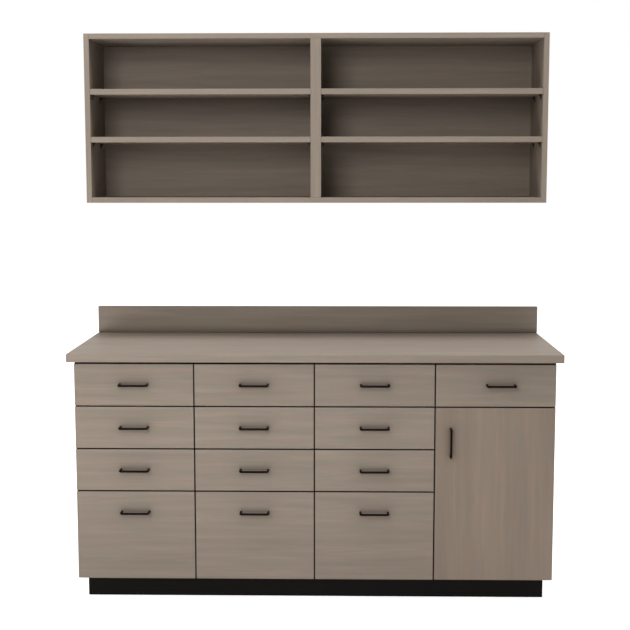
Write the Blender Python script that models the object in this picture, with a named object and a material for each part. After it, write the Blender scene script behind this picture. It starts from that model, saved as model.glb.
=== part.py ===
"""Pharmacy cabinet: a base cabinet of drawers with one door, and an open wall unit of shelves above it.

Metres, +Z up. X runs to the viewer's right and the fronts face -Y, with the room's wall behind at +Y.
The origin lies on the floor under the middle of the cabinet's outer box. Columns and rows count from 1,
from the left and from the top.
"""

import math

import bmesh
import bpy
from mathutils import Matrix, Vector

# Driving dimensions in metres

SEAM = 0.0003                       # gap between two pieces that touch
RUNNING_GAP = 0.0004                # gap between a slide's two members
BOARD_EASE = 0.0008                 # chamfer on the edge of a laminated board

BASE_WIDTH = 1.6764                 # over the end panels
CASE_HEIGHT = 0.776                 # from the plinth to the worktop's underside
PANEL = 0.019                       # boards of the base cabinet
BACK_PANEL = 0.0127

COUNTER_DEPTH = 0.6096              # from the wall to the front edge
COUNTER_THICKNESS = 0.0286
COUNTER_FRONT_OVERHANG = 0.022      # past the faces of the fronts
COUNTER_SIDE_OVERHANG = 0.021       # past each end panel
COUNTER_EASE = 0.003                # round on the worktop's edges
SPLASH_HEIGHT = 0.1025
SPLASH_THICKNESS = 0.019

PLINTH_HEIGHT = 0.089
PLINTH_BOARD = 0.019
PLINTH_RECESS = 0.0762              # from the faces of the fronts back to the toe kick
PLINTH_SIDE_INSET = 0.0215          # from each end panel's outer face

FRONT_THICKNESS = 0.019
FRONT_STANDOFF = 0.002              # air between a front and the cabinet's edges
FRONT_GAP = 0.0045                  # between two fronts
FRONT_EASE = 0.001
TOP_REVEAL = 0.0088                 # between the top fronts and the worktop
SMALL_FRONT_HEIGHT = 0.1465

BOX_WALL = 0.0127
BOX_BOTTOM = 0.0065
BOX_BELOW = 0.009                   # air under a drawer box
BOX_ABOVE = 0.0095                  # air over a drawer box
BOX_BEHIND = 0.056                  # from a drawer box to the back panel

SLIDE_SPACE = 0.0127                # between a drawer box and the panel beside it
SLIDE_HEIGHT = 0.035                # the cabinet member, a channel
SLIDE_STEEL = 0.0015                # wall of the channel
SLIDE_RISE = 0.010                  # from the underside of the box to the channel
SLIDE_SETBACK = 0.003               # behind the panel's front edge
SLIDE_LIP_GAP = 0.0015              # between the channel's lips and the box

PULL_SPACING = 0.0965               # between the two legs
PULL_ROD = 0.008
PULL_PROJECTION = 0.037             # from the front's face to the outside of the rod
PULL_INSIDE_BEND = 0.003            # radius on the inside of the rod's bends
PULL_DROP = 0.0715                  # from a drawer front's top edge
PULL_SHIFT_IN_DOOR_COLUMN = 0.017   # to the right of that drawer front's middle
PULL_SCREW = 0.0035
PULL_SCREW_HEAD = 0.008
PULL_SCREW_HEAD_HEIGHT = 0.0025
PULL_HOLE_CLEARANCE = 0.0003        # around a screw
PULL_SIDES = 8                      # flats around the rod
PULL_BEND_STEPS = 3                 # flats along a bend
PULL_SHARP_DEGREES = 50             # a steeper edge between two flats stays sharp

DOOR_PULL_INSET = 0.0525            # from the door's free edge
DOOR_PULL_DROP = 0.1225             # from the door's top edge to the pull's middle

HINGE_CUP = 0.035
HINGE_CUP_DEPTH = 0.012
HINGE_CUP_EDGE = 0.005              # from the door's hinged edge to the cup's rim
HINGE_CUP_SIDES = 20
HINGE_END_DISTANCE = 0.095          # from the door's ends to the hinges
HINGE_PLATE_HEIGHT = 0.048
HINGE_PLATE_LENGTH = 0.022
HINGE_PLATE_THICKNESS = 0.003
HINGE_PLATE_SETBACK = 0.026         # behind the panel's front edge
HINGE_ARM_HEIGHT = 0.014
HINGE_ARM_THICKNESS = 0.011
HINGE_ARM_EASE = 0.0025
HINGE_ARM_TAIL = 0.012              # past the rear of the plate
HINGE_TONGUE_HEIGHT = 0.010         # the arm's end, which reaches into the door's cup
HINGE_TONGUE_THICKNESS = 0.004

SUPPORT_REACH = 0.010               # shelf supports, one triangular bracket each
SUPPORT_HEIGHT = 0.018
SUPPORT_WIDTH = 0.008
SUPPORT_FRONT_INSET = 0.036         # from a shelf's front edge
SUPPORT_REAR_INSET = 0.090          # from a shelf's rear edge
SUPPORT_ROOT = 0.004                # part of the bracket sunk into the panel
SHELF_SIDE_GAP = 0.0004

DOOR_SHELF_HEIGHT = 0.300           # above the bottom panel
DOOR_SHELF_SETBACK = 0.030          # behind the cabinet's front edges

WALL_UNIT_CLEARANCE = 0.513         # between the worktop and the wall unit
WALL_UNIT_WIDTH = 1.6764
WALL_UNIT_HEIGHT = 0.608
WALL_UNIT_DEPTH = 0.295
WALL_PANEL = 0.019
WALL_DIVIDER = 0.038                # two boards glued face to face
WALL_SHELF = 0.020
WALL_SHELF_SETBACK = 0.001
WALL_LOWER_SHELF_HEIGHT = 0.200     # clear height under the lower shelves
WALL_MIDDLE_HEIGHT = 0.152          # clear height between the shelves

# Layout: what each column holds, from the top down

COLUMN_FRONTS = (
    ("small", "small", "small", "deep"),
    ("small", "small", "small", "deep"),
    ("small", "small", "small", "deep"),
    ("small", "door"),
)
COLUMNS = len(COLUMN_FRONTS)
DOOR_COLUMN = COLUMNS

# Places worked out from the dimensions

FACE_TO_WALL = COUNTER_DEPTH - COUNTER_FRONT_OVERHANG
WALL_Y = (FACE_TO_WALL + max(PULL_PROJECTION, COUNTER_FRONT_OVERHANG)) / 2
FACE_Y = WALL_Y - FACE_TO_WALL
CASE_FRONT_Y = FACE_Y + FRONT_THICKNESS + FRONT_STANDOFF
BACK_Y = WALL_Y - BACK_PANEL
BOX_FRONT_Y = FACE_Y + FRONT_THICKNESS + SEAM
BOX_REAR_Y = BACK_Y - BOX_BEHIND

BASE_LEFT = -BASE_WIDTH / 2
BAY_WIDTH = (BASE_WIDTH - (COLUMNS + 1) * PANEL) / COLUMNS
BOX_WIDTH = BAY_WIDTH - 2 * SLIDE_SPACE
FRONT_PITCH = BASE_WIDTH / COLUMNS
FRONT_WIDTH = FRONT_PITCH - FRONT_GAP

CASE_BOTTOM = PLINTH_HEIGHT
CASE_TOP = CASE_BOTTOM + CASE_HEIGHT
FLOOR_TOP = CASE_BOTTOM + PANEL
SUB_TOP_UNDERSIDE = CASE_TOP - PANEL
FRONTS_TOP = CASE_TOP - TOP_REVEAL
COUNTER_TOP = CASE_TOP + COUNTER_THICKNESS

DOOR_TOP = FRONTS_TOP - SMALL_FRONT_HEIGHT - FRONT_GAP
DOOR_BACK_Y = FACE_Y + FRONT_THICKNESS
DOOR_SHELF_BOTTOM = FLOOR_TOP + DOOR_SHELF_HEIGHT
DOOR_SHELF_FRONT_Y = CASE_FRONT_Y + DOOR_SHELF_SETBACK
DOOR_SHELF_REAR_Y = BACK_Y - SEAM

WALL_UNIT_BOTTOM = COUNTER_TOP + WALL_UNIT_CLEARANCE
WALL_UNIT_TOP = WALL_UNIT_BOTTOM + WALL_UNIT_HEIGHT
WALL_UNIT_FRONT_Y = WALL_Y - WALL_UNIT_DEPTH
WALL_SHELF_FRONT_Y = WALL_UNIT_FRONT_Y + WALL_SHELF_SETBACK
WALL_SHELF_REAR_Y = WALL_Y - WALL_PANEL - SEAM
WALL_LOWER_SHELF_BOTTOM = WALL_UNIT_BOTTOM + WALL_PANEL + WALL_LOWER_SHELF_HEIGHT
WALL_UPPER_SHELF_BOTTOM = WALL_LOWER_SHELF_BOTTOM + WALL_SHELF + WALL_MIDDLE_HEIGHT

# Finishes: sRGB colour, roughness, metallic

FINISHES = {
    "taupe_laminate": ("#94897C", 0.55, 0.0),
    "black_laminate": ("#181513", 0.60, 0.0),
    "white_melamine": ("#E6E3DC", 0.50, 0.0),
    "black_metal": ("#1B1815", 0.40, 0.6),
    "nickel_steel": ("#B9B8B4", 0.30, 1.0),
}


def bay_left(column):
    """X of the left side of a column's clear space."""
    return BASE_LEFT + PANEL + (column - 1) * (BAY_WIDTH + PANEL)


def front_middle(column):
    """X of the middle of a column's fronts."""
    return BASE_LEFT + (column - 0.5) * FRONT_PITCH


def front_heights(column, row):
    """Bottom and top Z of a front. The last front of a column takes the height that is left."""
    high = FRONTS_TOP - (row - 1) * (SMALL_FRONT_HEIGHT + FRONT_GAP)
    if row == len(COLUMN_FRONTS[column - 1]):
        return CASE_BOTTOM, high
    return high - SMALL_FRONT_HEIGHT, high


def box_heights(column, row):
    """Bottom and top Z of the drawer box behind a front, clear of the bottom panel and the sub-top."""
    low, high = front_heights(column, row)
    return low + PANEL + BOX_BELOW, high + TOP_REVEAL - PANEL - BOX_ABOVE


def drawer_rows(column):
    """Rows of a column that hold a drawer."""
    fronts = COLUMN_FRONTS[column - 1]
    return [row for row, kind in enumerate(fronts, start=1) if kind != "door"]


def linear_colour(code):
    """Linear RGBA of a hex sRGB colour."""
    channels = [int(code[i:i + 2], 16) / 255 for i in (1, 3, 5)]
    return [c / 12.92 if c <= 0.04045 else ((c + 0.055) / 1.055) ** 2.4 for c in channels] + [1.0]


def material(name, finish):
    """A plain Principled material for one piece."""
    colour, roughness, metallic = FINISHES[finish]
    made = bpy.data.materials.new(f"{name}_{finish}")
    made.use_nodes = True
    surface = made.node_tree.nodes["Principled BSDF"]
    surface.inputs["Base Color"].default_value = linear_colour(colour)
    surface.inputs["Roughness"].default_value = roughness
    surface.inputs["Metallic"].default_value = metallic
    return made


def mesh_object(name, shape, origin, parent):
    """Turn a bmesh drawn in its parent's frame into an object with its origin at the given point."""
    bmesh.ops.translate(shape, verts=shape.verts, vec=-Vector(origin))
    bmesh.ops.recalc_face_normals(shape, faces=shape.faces)
    mesh = bpy.data.meshes.new(name)
    shape.to_mesh(mesh)
    shape.free()
    made = bpy.data.objects.new(name, mesh)
    made.location = origin
    made.parent = parent
    bpy.context.scene.collection.objects.link(made)
    return made


def piece(name, shape, finish, origin=(0, 0, 0), parent=None):
    """One named piece of the cabinet with its own material."""
    made = mesh_object(name, shape, origin, parent)
    made.data.materials.append(material(name, finish))
    return made


def combine(target, shape, operation):
    """Join a shape to a piece or cut it away. The shape is drawn in the same frame as the piece."""
    count = len(target.modifiers) + 1
    tool = mesh_object(f"{target.name}_tool_{count}", shape, target.location, target)
    tool.location = (0, 0, 0)
    tool.hide_render = True
    tool.display_type = "WIRE"
    cut = target.modifiers.new(operation.title(), "BOOLEAN")
    cut.operation = operation
    cut.object = tool


def add_box(shape, low, high, ease=0.0):
    """A box between two corners, with its edges eased by a chamfer."""
    low = Vector(low)
    high = Vector(high)
    place = Matrix.Translation((low + high) / 2) @ Matrix.Diagonal((*(high - low), 1.0))
    corners = bmesh.ops.create_cube(shape, size=1.0, matrix=place)["verts"]
    if ease > 0:
        edges = {edge for corner in corners for edge in corner.link_edges}
        bmesh.ops.bevel(shape, geom=list(edges), offset=ease, segments=1, affect="EDGES")


def add_prism(shape, outline, y_low, y_high):
    """A bar along Y whose cross-section is an outline of X, Z points."""
    front = [shape.verts.new((x, y_low, z)) for x, z in outline]
    rear = [shape.verts.new((x, y_high, z)) for x, z in outline]
    shape.faces.new(front)
    shape.faces.new(rear[::-1])
    for i in range(len(outline)):
        shape.faces.new((front[i - 1], rear[i - 1], rear[i], front[i]))


def add_bore(shape, middle, diameter, y_low, y_high, sides):
    """A round plug along Y, used to cut a hole."""
    ring = [2 * math.pi * i / sides for i in range(sides)]
    reach = diameter / 2
    add_prism(shape, [(middle[0] + reach * math.cos(a), middle[1] + reach * math.sin(a)) for a in ring],
              y_low, y_high)


def board(name, low, high, finish="taupe_laminate", ease=BOARD_EASE, parent=None):
    """A flat board with its origin in its middle."""
    shape = bmesh.new()
    add_box(shape, low, high, ease)
    return piece(name, shape, finish, (Vector(low) + Vector(high)) / 2, parent)


def add_slide_channel(shape, panel_face, facing, z):
    """The cabinet member of a slide: a channel on a panel's face, open towards the drawer box."""
    root = -SLIDE_STEEL
    lip = SLIDE_SPACE - SLIDE_LIP_GAP
    section = (
        (root, 0), (lip, 0), (lip, SLIDE_STEEL), (SLIDE_STEEL, SLIDE_STEEL),
        (SLIDE_STEEL, SLIDE_HEIGHT - SLIDE_STEEL), (lip, SLIDE_HEIGHT - SLIDE_STEEL),
        (lip, SLIDE_HEIGHT), (root, SLIDE_HEIGHT),
    )
    outline = [(panel_face + facing * x, z + rise) for x, rise in section]
    add_prism(shape, outline, CASE_FRONT_Y + SLIDE_SETBACK, BOX_REAR_Y)


def add_slide_runner(shape, box_face, facing, z, y_low, y_high):
    """The drawer member of a slide: a bar on the box's side that runs inside the channel."""
    inside = box_face - facing * BOX_WALL / 2
    outside = box_face + facing * (SLIDE_SPACE - SLIDE_STEEL - RUNNING_GAP)
    wall = SLIDE_STEEL + RUNNING_GAP
    add_box(shape, (min(inside, outside), y_low, z + wall),
            (max(inside, outside), y_high, z + SLIDE_HEIGHT - wall))


def add_shelf_supports(shape, panel_face, facing, shelf_bottom, shelf_front, shelf_rear):
    """Two triangular brackets on a panel's face, just under a shelf near its front and its rear."""
    top = shelf_bottom - SEAM
    section = (
        (-SUPPORT_ROOT, 0), (SUPPORT_REACH, 0), (0, -SUPPORT_HEIGHT), (-SUPPORT_ROOT, -SUPPORT_HEIGHT),
    )
    outline = [(panel_face + facing * x, top + rise) for x, rise in section]
    for y in (shelf_front + SUPPORT_FRONT_INSET, shelf_rear - SUPPORT_REAR_INSET):
        add_prism(shape, outline, y - SUPPORT_WIDTH / 2, y + SUPPORT_WIDTH / 2)


def build_plinth():
    """A glued ladder frame: toe kick, rear board, two sides and a sleeper under each partition."""
    half = BASE_WIDTH / 2 - PLINTH_SIDE_INSET
    front = FACE_Y + PLINTH_RECESS
    top = PLINTH_HEIGHT - SEAM
    frame = board("plinth", (-half, front, 0), (half, WALL_Y, top), "black_laminate")
    cells = bmesh.new()
    edges = [bay_left(column) - PANEL / 2 for column in range(2, COLUMNS + 1)]
    starts = [-half + PLINTH_BOARD] + [x + PLINTH_BOARD / 2 for x in edges]
    ends = [x - PLINTH_BOARD / 2 for x in edges] + [half - PLINTH_BOARD]
    for start, end in zip(starts, ends):
        add_box(cells, (start, front + PLINTH_BOARD, -top), (end, WALL_Y - PLINTH_BOARD, 2 * top))
    combine(frame, cells, "DIFFERENCE")


def build_upright(index):
    """An end panel or a partition, with the slide channels and shelf supports on its faces."""
    is_end = index in (0, COLUMNS)
    names = ["left_end_panel"] + [f"partition_{i}" for i in range(1, COLUMNS)] + ["right_end_panel"]
    left = BASE_LEFT + index * (BAY_WIDTH + PANEL)
    low = CASE_BOTTOM if is_end else FLOOR_TOP + SEAM
    high = CASE_TOP - SEAM if is_end else SUB_TOP_UNDERSIDE - SEAM
    rear = WALL_Y if is_end else BACK_Y - SEAM
    upright = board(names[index], (left, CASE_FRONT_Y, low), (left + PANEL, rear, high))
    fittings = bmesh.new()
    for column, panel_face, facing in ((index, left, -1), (index + 1, left + PANEL, 1)):
        if not 1 <= column <= COLUMNS:
            continue
        for row in drawer_rows(column):
            add_slide_channel(fittings, panel_face, facing, box_heights(column, row)[0] + SLIDE_RISE)
        if column == DOOR_COLUMN:
            add_shelf_supports(fittings, panel_face, facing, DOOR_SHELF_BOTTOM,
                               DOOR_SHELF_FRONT_Y, DOOR_SHELF_REAR_Y)
    combine(upright, fittings, "UNION")


def build_case():
    """The boards of the base cabinet."""
    build_plinth()
    for index in range(COLUMNS + 1):
        build_upright(index)
    inside = BASE_WIDTH / 2 - PANEL - SEAM
    board("bottom_panel", (-inside, CASE_FRONT_Y, CASE_BOTTOM), (inside, BACK_Y - SEAM, FLOOR_TOP))
    board("sub_top", (-inside, CASE_FRONT_Y, SUB_TOP_UNDERSIDE), (inside, BACK_Y - SEAM, CASE_TOP - SEAM))
    board("back_panel", (-inside, BACK_Y, CASE_BOTTOM), (inside, WALL_Y, CASE_TOP - SEAM))
    shelf_left = bay_left(DOOR_COLUMN) + SHELF_SIDE_GAP
    shelf_right = bay_left(DOOR_COLUMN) + BAY_WIDTH - SHELF_SIDE_GAP
    board("door_shelf", (shelf_left, DOOR_SHELF_FRONT_Y, DOOR_SHELF_BOTTOM),
          (shelf_right, DOOR_SHELF_REAR_Y, DOOR_SHELF_BOTTOM + PANEL))


def build_counter():
    """The worktop and the backsplash that stands on its rear edge."""
    half = BASE_WIDTH / 2 + COUNTER_SIDE_OVERHANG
    board("countertop", (-half, WALL_Y - COUNTER_DEPTH, CASE_TOP), (half, WALL_Y, COUNTER_TOP),
          ease=COUNTER_EASE)
    board("backsplash", (-half, WALL_Y - SPLASH_THICKNESS, COUNTER_TOP + SEAM),
          (half, WALL_Y, COUNTER_TOP + SEAM + SPLASH_HEIGHT))


def pull_path(grip):
    """Stations along a pull from one screw head to the other: X, Y, heading and radius.

    The pull lies in the X, Y plane. Y is 0 on the front's face and the rod bows out to -Y. A heading of 0
    runs along +X. The screws run through the grip, the thickness that they clamp.
    """
    leg = -PULL_SPACING / 2
    out = -PULL_PROJECTION + PULL_ROD / 2
    bend = PULL_INSIDE_BEND + PULL_ROD / 2
    down = -math.pi / 2
    head_near = grip + SEAM
    half = [
        (leg, head_near + PULL_SCREW_HEAD_HEIGHT, down, PULL_SCREW_HEAD / 2),
        (leg, head_near, down, PULL_SCREW_HEAD / 2),
        (leg, head_near, down, PULL_SCREW / 2),
        (leg, -SEAM, down, PULL_SCREW / 2),
        (leg, -SEAM, down, PULL_ROD / 2),
    ]
    for step in range(PULL_BEND_STEPS + 1):
        heading = down * (1 - step / PULL_BEND_STEPS)
        half.append((leg + bend * (1 + math.sin(heading)), out + bend * (1 - math.cos(heading)),
                     heading, PULL_ROD / 2))
    return half + [(-x, y, -heading, radius) for x, y, heading, radius in reversed(half)]


def build_pull(name, middle, grip, upright, parent):
    """A bow pull bent from round rod, with its two screws. It lies across, or upright on the door."""
    shape = bmesh.new()
    rings = []
    for x, y, heading, radius in pull_path(grip):
        ring = []
        for i in range(PULL_SIDES):
            angle = 2 * math.pi * i / PULL_SIDES
            sideways = radius * math.cos(angle)
            ring.append(shape.verts.new((x - sideways * math.sin(heading), y + sideways * math.cos(heading),
                                         radius * math.sin(angle))))
        rings.append(ring)
    for ring, following in zip(rings, rings[1:]):
        for i in range(PULL_SIDES):
            shape.faces.new((ring[i - 1], ring[i], following[i], following[i - 1]))
    shape.faces.new(rings[0])
    shape.faces.new(rings[-1][::-1])
    if upright:
        bmesh.ops.rotate(shape, verts=shape.verts, matrix=Matrix.Rotation(math.pi / 2, 3, "Y"))
    bmesh.ops.translate(shape, verts=shape.verts, vec=Vector(middle))
    pull = piece(name, shape, "black_metal", middle, parent)
    pull.data.shade_smooth()
    pull.data.set_sharp_from_angle(angle=math.radians(PULL_SHARP_DEGREES))


def pull_holes(middle, grip, upright):
    """Two plugs that cut a pull's screw holes through the thickness that the screws clamp."""
    holes = bmesh.new()
    for side in (-1, 1):
        along = side * PULL_SPACING / 2
        spot = (middle[0], middle[2] + along) if upright else (middle[0] + along, middle[2])
        add_bore(holes, spot, PULL_SCREW + 2 * PULL_HOLE_CLEARANCE,
                 middle[1] - FRONT_THICKNESS, middle[1] + grip + FRONT_THICKNESS, PULL_SIDES)
    return holes


def build_drawer_box(name, column, low, high, middle, grip, frame):
    """An open tray with a runner on each side, and holes for the pull's screws in its front wall."""
    left = bay_left(column) + SLIDE_SPACE - frame.location.x
    right = left + BOX_WIDTH
    front = BOX_FRONT_Y - FACE_Y
    rear = BOX_REAR_Y - FACE_Y
    shape = bmesh.new()
    add_box(shape, (left, front, low), (right, rear, high))
    box = piece(name, shape, "white_melamine", parent=frame)
    hollow = bmesh.new()
    add_box(hollow, (left + BOX_WALL, front + BOX_WALL, low + BOX_BOTTOM),
            (right - BOX_WALL, rear - BOX_WALL, 2 * high - low))
    combine(box, hollow, "DIFFERENCE")
    runners = bmesh.new()
    for box_face, facing in ((left, -1), (right, 1)):
        add_slide_runner(runners, box_face, facing, low + SLIDE_RISE,
                         front + SLIDE_SETBACK, rear - SLIDE_SETBACK)
    combine(box, runners, "UNION")
    combine(box, pull_holes(middle, grip, False), "DIFFERENCE")


def build_drawer(column, row):
    """A drawer: front, box and pull, all riding on an empty at the middle of the front's lower edge."""
    tag = f"c{column}_r{row}"
    low, high = front_heights(column, row)
    frame = bpy.data.objects.new(f"drawer_{tag}_slide", None)
    frame.location = (front_middle(column), FACE_Y, low)
    bpy.context.scene.collection.objects.link(frame)
    shift = PULL_SHIFT_IN_DOOR_COLUMN if column == DOOR_COLUMN else 0.0
    middle = (shift, 0.0, high - low - PULL_DROP)
    grip = FRONT_THICKNESS + SEAM + BOX_WALL
    front = board(f"drawer_front_{tag}", (-FRONT_WIDTH / 2, 0, 0),
                  (FRONT_WIDTH / 2, FRONT_THICKNESS, high - low), ease=FRONT_EASE, parent=frame)
    combine(front, pull_holes(middle, grip, False), "DIFFERENCE")
    box_low, box_high = box_heights(column, row)
    build_drawer_box(f"drawer_box_{tag}", column, box_low - low, box_high - low, middle, grip, frame)
    build_pull(f"drawer_pull_{tag}", middle, grip, False, frame)


def build_door():
    """The door, bored for two hinge cups, and its upright pull. They ride on an empty on the hinge axis."""
    edge = front_middle(DOOR_COLUMN) + FRONT_WIDTH / 2
    frame = bpy.data.objects.new("door_hinge_axis", None)
    frame.location = (edge, FACE_Y, CASE_BOTTOM)
    bpy.context.scene.collection.objects.link(frame)
    height = DOOR_TOP - CASE_BOTTOM
    door = board("door", (-FRONT_WIDTH, 0, 0), (0, FRONT_THICKNESS, height), ease=FRONT_EASE, parent=frame)
    cups = bmesh.new()
    for z in (HINGE_END_DISTANCE, height - HINGE_END_DISTANCE):
        add_bore(cups, (-HINGE_CUP_EDGE - HINGE_CUP / 2, z), HINGE_CUP, FRONT_THICKNESS - HINGE_CUP_DEPTH,
                 2 * FRONT_THICKNESS, HINGE_CUP_SIDES)
    combine(door, cups, "DIFFERENCE")
    middle = (DOOR_PULL_INSET - FRONT_WIDTH, 0.0, height - DOOR_PULL_DROP)
    combine(door, pull_holes(middle, FRONT_THICKNESS, True), "DIFFERENCE")
    build_pull("door_pull", middle, FRONT_THICKNESS, True, frame)


def build_hinge(name, z):
    """The cabinet half of a concealed hinge: a plate on the right end panel, and an arm with a tongue.

    The tongue reaches into the door's cup and ends just short of the cup's floor.
    """
    panel_face = BASE_WIDTH / 2 - PANEL - SEAM
    arm_left = panel_face - HINGE_ARM_THICKNESS
    arm_right = panel_face - HINGE_PLATE_THICKNESS / 2
    tongue_left = (arm_left + arm_right - HINGE_TONGUE_THICKNESS) / 2
    plate_front = CASE_FRONT_Y + HINGE_PLATE_SETBACK
    plate_rear = plate_front + HINGE_PLATE_LENGTH
    shape = bmesh.new()
    add_box(shape, (panel_face - HINGE_PLATE_THICKNESS, plate_front, z - HINGE_PLATE_HEIGHT / 2),
            (panel_face, plate_rear, z + HINGE_PLATE_HEIGHT / 2))
    hinge = piece(name, shape, "nickel_steel", (panel_face, plate_front, z))
    arm = bmesh.new()
    add_box(arm, (arm_left, DOOR_BACK_Y + SEAM, z - HINGE_ARM_HEIGHT / 2),
            (arm_right, plate_rear + HINGE_ARM_TAIL, z + HINGE_ARM_HEIGHT / 2), HINGE_ARM_EASE)
    combine(hinge, arm, "UNION")
    tongue = bmesh.new()
    add_box(tongue, (tongue_left, DOOR_BACK_Y - HINGE_CUP_DEPTH + SEAM, z - HINGE_TONGUE_HEIGHT / 2),
            (tongue_left + HINGE_TONGUE_THICKNESS, plate_front, z + HINGE_TONGUE_HEIGHT / 2))
    combine(hinge, tongue, "UNION")


def build_wall_unit():
    """The wall unit's glued carcass, with its shelf supports, and the four shelves that rest on them."""
    half = WALL_UNIT_WIDTH / 2
    carcass = board("wall_carcass", (-half, WALL_UNIT_FRONT_Y, WALL_UNIT_BOTTOM),
                    (half, WALL_Y, WALL_UNIT_TOP))
    bays = (
        ("left", -half + WALL_PANEL, -WALL_DIVIDER / 2),
        ("right", WALL_DIVIDER / 2, half - WALL_PANEL),
    )
    shelves = (("lower", WALL_LOWER_SHELF_BOTTOM), ("upper", WALL_UPPER_SHELF_BOTTOM))
    hollow = bmesh.new()
    supports = bmesh.new()
    for side, left, right in bays:
        add_box(hollow, (left, WALL_UNIT_FRONT_Y - WALL_PANEL, WALL_UNIT_BOTTOM + WALL_PANEL),
                (right, WALL_Y - WALL_PANEL, WALL_UNIT_TOP - WALL_PANEL))
        for level, bottom in shelves:
            for panel_face, facing in ((left, 1), (right, -1)):
                add_shelf_supports(supports, panel_face, facing, bottom,
                                   WALL_SHELF_FRONT_Y, WALL_SHELF_REAR_Y)
            board(f"wall_shelf_{side}_{level}", (left + SHELF_SIDE_GAP, WALL_SHELF_FRONT_Y, bottom),
                  (right - SHELF_SIDE_GAP, WALL_SHELF_REAR_Y, bottom + WALL_SHELF))
    combine(carcass, hollow, "DIFFERENCE")
    combine(carcass, supports, "UNION")


def build():
    """The whole cabinet."""
    for old in list(bpy.data.objects):
        bpy.data.objects.remove(old, do_unlink=True)
    build_case()
    build_counter()
    for column in range(1, COLUMNS + 1):
        for row in drawer_rows(column):
            build_drawer(column, row)
    build_door()
    build_hinge("upper_hinge", DOOR_TOP - HINGE_END_DISTANCE)
    build_hinge("lower_hinge", CASE_BOTTOM + HINGE_END_DISTANCE)
    build_wall_unit()


build()
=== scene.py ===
"""Pharmacy cabinet with wall shelves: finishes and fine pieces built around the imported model.

Metres, +Z up, fronts facing -Y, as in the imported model. Columns and rows count from 1, from the left and
from the top. The sections follow the order in which a joiner puts the cabinet together.
"""

import itertools
import math

import bpy
import numpy as np
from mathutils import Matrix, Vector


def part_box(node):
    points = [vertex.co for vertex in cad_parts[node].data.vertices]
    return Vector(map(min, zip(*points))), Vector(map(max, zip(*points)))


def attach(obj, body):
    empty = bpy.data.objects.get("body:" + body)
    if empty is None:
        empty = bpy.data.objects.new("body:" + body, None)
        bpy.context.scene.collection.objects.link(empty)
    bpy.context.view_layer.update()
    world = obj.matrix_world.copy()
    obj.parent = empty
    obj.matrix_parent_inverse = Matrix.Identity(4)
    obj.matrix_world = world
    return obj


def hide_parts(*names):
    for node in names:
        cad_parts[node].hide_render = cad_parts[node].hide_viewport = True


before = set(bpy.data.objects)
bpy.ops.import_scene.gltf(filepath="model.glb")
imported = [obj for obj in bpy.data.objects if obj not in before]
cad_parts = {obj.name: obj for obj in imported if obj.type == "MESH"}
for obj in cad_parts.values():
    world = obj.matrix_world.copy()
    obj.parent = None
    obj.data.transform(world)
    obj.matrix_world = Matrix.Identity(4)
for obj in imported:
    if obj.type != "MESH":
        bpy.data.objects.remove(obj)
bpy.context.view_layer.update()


# Plinth: a ladder frame of particleboard faced with matt black laminate, glued up on the bench and set level
# on the floor before the cabinet is lowered onto it. Only the toe kick shows from the front.

def linear(code):
    """Linear RGBA of a hex sRGB colour: each channel has the sRGB curve taken off."""
    channel = np.array([int(code[i:i + 2], 16) for i in (1, 3, 5)]) / 255
    flat = np.where(channel <= 0.04045, channel / 12.92, ((channel + 0.055) / 1.055) ** 2.4)
    return (*flat.tolist(), 1.0)


def add_node(tree, kind, sockets, **settings):
    """Add one shader node and return its outputs. Sockets hold values or links, by input name or number."""
    made = tree.nodes.new("ShaderNode" + kind)
    for key, value in settings.items():
        setattr(made, key, value)
    for key, value in sockets.items():
        if isinstance(value, bpy.types.NodeSocket):
            tree.links.new(value, made.inputs[key])
        else:
            made.inputs[key].default_value = value
    return made.outputs


def new_material(name):
    """A material with an empty node tree."""
    made = bpy.data.materials.new(name)
    made.use_nodes = True
    made.node_tree.nodes.clear()
    return made


# Matt black laminate: melamine over black printed paper with a pearl texture. It gives the eye a flat dark
# field with hardly any gloss, greyed a little by scuffs that run along the floor.
BLACK_LAMINATE = "#0E0B09"
BLACK_SCUFF = "#1E1A17"
SCUFF_LENGTH, SCUFF_WIDTH = 0.120, 0.004
SCUFF_FROM, SCUFF_FULL, SCUFF_SHARE = 0.58, 0.80, 0.5   # noise where scuffs start and are full, and their cover
PEARL_GRAIN = 0.0012
PEARL_ROUGH = (0.52, 0.70)
PEARL_BUMP, PEARL_DEPTH = 0.25, 0.0002
BLACK_SPECULAR = 0.08

black_laminate = new_material("matt_black_laminate")
tree = black_laminate.node_tree
place = add_node(tree, "TexCoord", {})["Object"]
stretched = add_node(tree, "VectorMath", {0: place, 1: (1 / SCUFF_LENGTH, 1 / SCUFF_WIDTH, 1 / SCUFF_WIDTH)},
                     operation="MULTIPLY")[0]
scuff = add_node(tree, "TexNoise", {"Vector": stretched, "Scale": 1.0, "Detail": 3.0})["Fac"]
scuff = add_node(tree, "MapRange", {"Value": scuff, "From Min": SCUFF_FROM, "From Max": SCUFF_FULL,
                                    "To Max": SCUFF_SHARE})[0]
pearl = add_node(tree, "TexNoise", {"Vector": place, "Scale": 1 / PEARL_GRAIN, "Detail": 2.0})["Fac"]
colour = add_node(tree, "Mix", {0: scuff, 6: linear(BLACK_LAMINATE), 7: linear(BLACK_SCUFF)},
                  data_type="RGBA")[2]
rough = add_node(tree, "MapRange", {"Value": pearl, "To Min": PEARL_ROUGH[0], "To Max": PEARL_ROUGH[1]})[0]
bump = add_node(tree, "Bump", {"Height": pearl, "Strength": PEARL_BUMP, "Distance": PEARL_DEPTH})[0]
surface = add_node(tree, "BsdfPrincipled", {"Base Color": colour, "Roughness": rough, "Normal": bump,
                                            "Specular IOR Level": BLACK_SPECULAR})[0]
add_node(tree, "OutputMaterial", {"Surface": surface})
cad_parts["plinth"].material_slots[0].material = black_laminate


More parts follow.
